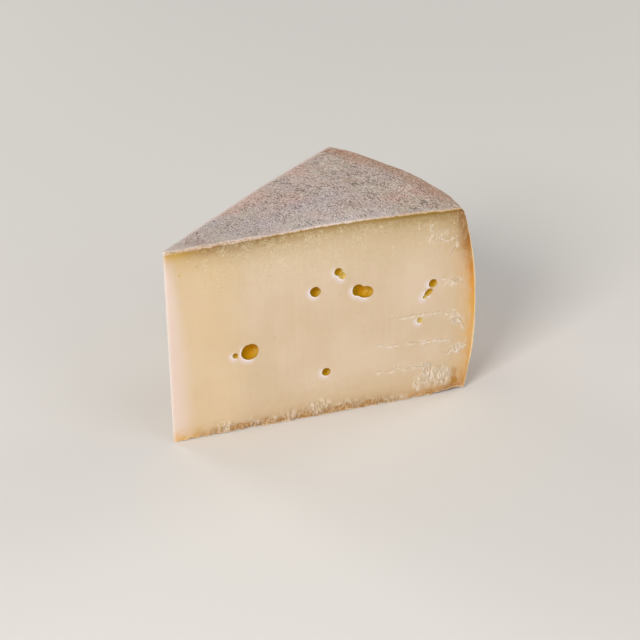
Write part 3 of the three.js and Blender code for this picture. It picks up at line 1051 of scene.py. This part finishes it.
def speckle(at, colour):
    """Salt and pepper from two crossing fine grains, and a few longer dark creases round the wheel."""
    uneven = at.noise(at.spot, 6, 2, seed=19).fit(0.35, 0.62, 0.4, 1.0)
    uneven = uneven * at.radius.fit(4, 12, 0.25, 1.0) * at.into.fit(0.5, 1.8, 0.2, 1.0)
    uneven = uneven * at.calm
    dark = at.math("MAXIMUM", at.round_way.fit(0.47, 0.36), at.out_way.fit(0.45, 0.35, 0.0, 0.8))
    light = at.math("MAXIMUM", at.round_way.fit(0.54, 0.64), at.out_way.fit(0.54, 0.64))
    colour = at.over(colour, dark * uneven * 0.8, 98, 79, 66)
    colour = at.over(colour, light * at.calm * 0.74, 245, 234, 227)

    streak = at.noise(at.scaled(at.polar, (1, 0.25, 1)), 0.85, 1, 0.5, 0.3, seed=24)
    streaky = at.noise(at.polar, 9, 1, seed=25).fit(0.4, 0.56) * uneven
    streaks = streak.fit(0.4, 0.32) * streaky
    colour = at.over(colour, streaks * 0.75, 96, 80, 64)
    crease = at.ridges(at.scaled(at.polar, (1, 0.25, 1)), 1.3, 1, 0.3, seed=20)
    seldom = at.noise(at.polar, 3.5, 2, seed=23).fit(0.58, 0.64)
    creases = crease.fit(0.72, 0.9) * seldom * at.calm

    at.relief = at.grain + light * 0.25 - dark * 0.25
    at.relief = at.relief * at.calm - creases * 0.4 - streaks * 0.5
    return at.over(colour, creases * 0.7, 86, 72, 62)


def rind_edges(at, colour):
    """The crust is whitish and crumbly along the cuts, and all over near the tip."""
    colour = at.over(colour, at.radius.fit(12, 4, 0.0, 0.7), 230, 212, 197)
    flecks = at.grain.fit(0.44, 0.54, 0.15, 1.0)
    edge = (at.into + at.blotch * 1.8).fit(2.2, 1.2) * at.radius.fit(60, 90, 1.0, 0.45)
    colour = at.over(colour, edge * flecks * 0.75, 230, 216, 208)
    far_edge = at.into.fit(0.9, 0.5) * at.around.fit(0, 1, 0.0, 0.8)
    return at.over(colour, far_edge, 232, 214, 202)


def rind_material():
    rind = Rind()
    colour = rind_body(rind)
    for layer in (outer_rind, speckle, rind_edges):
        colour = layer(rind, colour)
    rind.set(Base_Color=colour, Roughness=rind.grain.fit(0.3, 0.7, 0.85, 0.7), Specular_IOR_Level=0.25)
    rind.set(Subsurface_Weight=0.05, Subsurface_Radius=(1.0, 0.6, 0.4), Subsurface_Scale=0.6 * MM)
    rind.bump(rind.relief, 0.5, 0.7)
    return rind.material


def eye_material():
    """Golden walls, darker a little way in, with painted light that makes them paler where they face up or
    toward the tip.
    """
    shader = Shader("eye_wall")
    spot = shader.object_place()
    ragged = shader.noise(spot, 1.6, 2, seed=21).fit(0.3, 0.7, -0.3, 0.3)
    depth = shader.stored("wall") + ragged
    colour = shader.math("DIVIDE", depth, EYE_REACH, clamp=True).colours(
        (0.0, 214, 190, 134), (0.13, 202, 174, 96), (0.21, 192, 150, 30), (0.35, 186, 143, 5),
        (0.62, 206, 156, 16), (1.0, 232, 174, 30),
    )
    # Painted light: walls facing up or toward the tip are made paler
    lit_facing = shader.stored("slope").fit(0.2, 1.0, 0.0, 0.6)
    shader.set(Base_Color=shader.over(colour, lit_facing, 206, 174, 84), Roughness=0.5, Specular_IOR_Level=0.2)
    shader.set(Subsurface_Weight=0.2, Subsurface_Radius=(1.0, 0.6, 0.2), Subsurface_Scale=1.0 * MM)
    shader.bump(shader.noise(spot, 0.9, 2, seed=22), 0.12, 0.4)
    return shader.material


def make_cheese():
    shaders = [paste_material(), rind_material(), eye_material()]
    cheese = add_mesh("cheese", *wedge_mesh(), shaders)
    eyes = {-1: FRONT_EYES, 1: back_eyes()}
    carve(cheese, [hollow(side, eye, shaders) for side in eyes for eye in eyes[side]])
    cheese.data.shade_smooth()
    cheese.data.set_sharp_from_angle(angle=math.radians(50))
    describe(cheese.data, eyes)
    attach(cheese, "root")
    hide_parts("cheese_wedge")
    return cheese


# The view: angles in degrees, the lens, and the camera's place in millimetres from the wheel's middle
LOOK_RIGHT = 37.86
LOOK_DOWN = 26.85
ROLL = -1.629
LENS = 145.67
CAMERA_PLACE = (-449.6, -665.1, 452.7)
FLOOR_HALF = 1.5  # half the floor's width, in metres


def make_camera():
    data = bpy.data.cameras.new("camera")
    data.lens = LENS
    data.sensor_width = 36
    camera = bpy.data.objects.new("camera", data)
    bpy.context.collection.objects.link(camera)
    camera.location = (Vector(CAMERA_PLACE) + Vector((AXIS_X, 0, 0))) * MM
    turn = Matrix.Rotation(math.radians(-LOOK_RIGHT), 4, "Z")
    tilt = Matrix.Rotation(math.radians(90 - LOOK_DOWN), 4, "X")
    roll = Matrix.Rotation(math.radians(ROLL), 4, "Z")
    camera.rotation_euler = (turn @ tilt @ roll).to_euler()
    bpy.context.scene.camera = camera
    return camera


def add_light(name, camera, right, up, back, size, watts, tint):
    """A soft square light aimed at the object's middle, placed in metres from it as the camera sees them."""
    data = bpy.data.lights.new(name, "AREA")
    data.size = size
    data.energy = watts
    data.color = tint
    light = bpy.data.objects.new(name, data)
    bpy.context.collection.objects.link(light)
    middle = Vector((0, 0, HEIGHT * MM / 2))
    turn = camera.rotation_euler.to_matrix()
    light.location = middle + turn @ Vector((right, up, back))
    light.rotation_euler = (middle - light.location).to_track_quat("-Z", "Y").to_euler()


def make_studio(camera):
    add_light("key", camera, -0.48, 0.19, 1.19, 0.5, 11.3, (1.0, 0.98, 0.96))
    add_light("fill", camera, 0.7, 0.3, 0.9, 0.8, 2.5, (1.0, 0.98, 0.96))
    add_light("rim_right", camera, 0.9, 0.6, -0.45, 0.4, 3.5, (1.0, 0.97, 0.92))
    add_light("rim_left", camera, -0.8, 0.55, -0.5, 0.4, 3.5, (1.0, 0.97, 0.94))
    world = bpy.data.worlds.new("studio")
    world.use_nodes = True
    background = world.node_tree.nodes["Background"]
    background.inputs["Color"].default_value = (0.9, 0.92, 0.95, 1)
    background.inputs["Strength"].default_value = 0.35
    bpy.context.scene.world = world
    bpy.context.scene.view_settings.view_transform = "Standard"


def make_floor():
    half = FLOOR_HALF
    mesh = bpy.data.meshes.new("floor")
    corners = [(-half, -half, 0), (half, -half, 0), (half, half, 0), (-half, half, 0)]
    mesh.from_pydata(corners, [], [(0, 1, 2, 3)])
    floor = bpy.data.objects.new("floor", mesh)
    bpy.context.collection.objects.link(floor)
    shader = Shader("floor")
    shader.set(Base_Color=screen(226, 222, 216), Roughness=0.8)
    mesh.materials.append(shader.material)


make_floor()
make_studio(make_camera())
make_cheese()
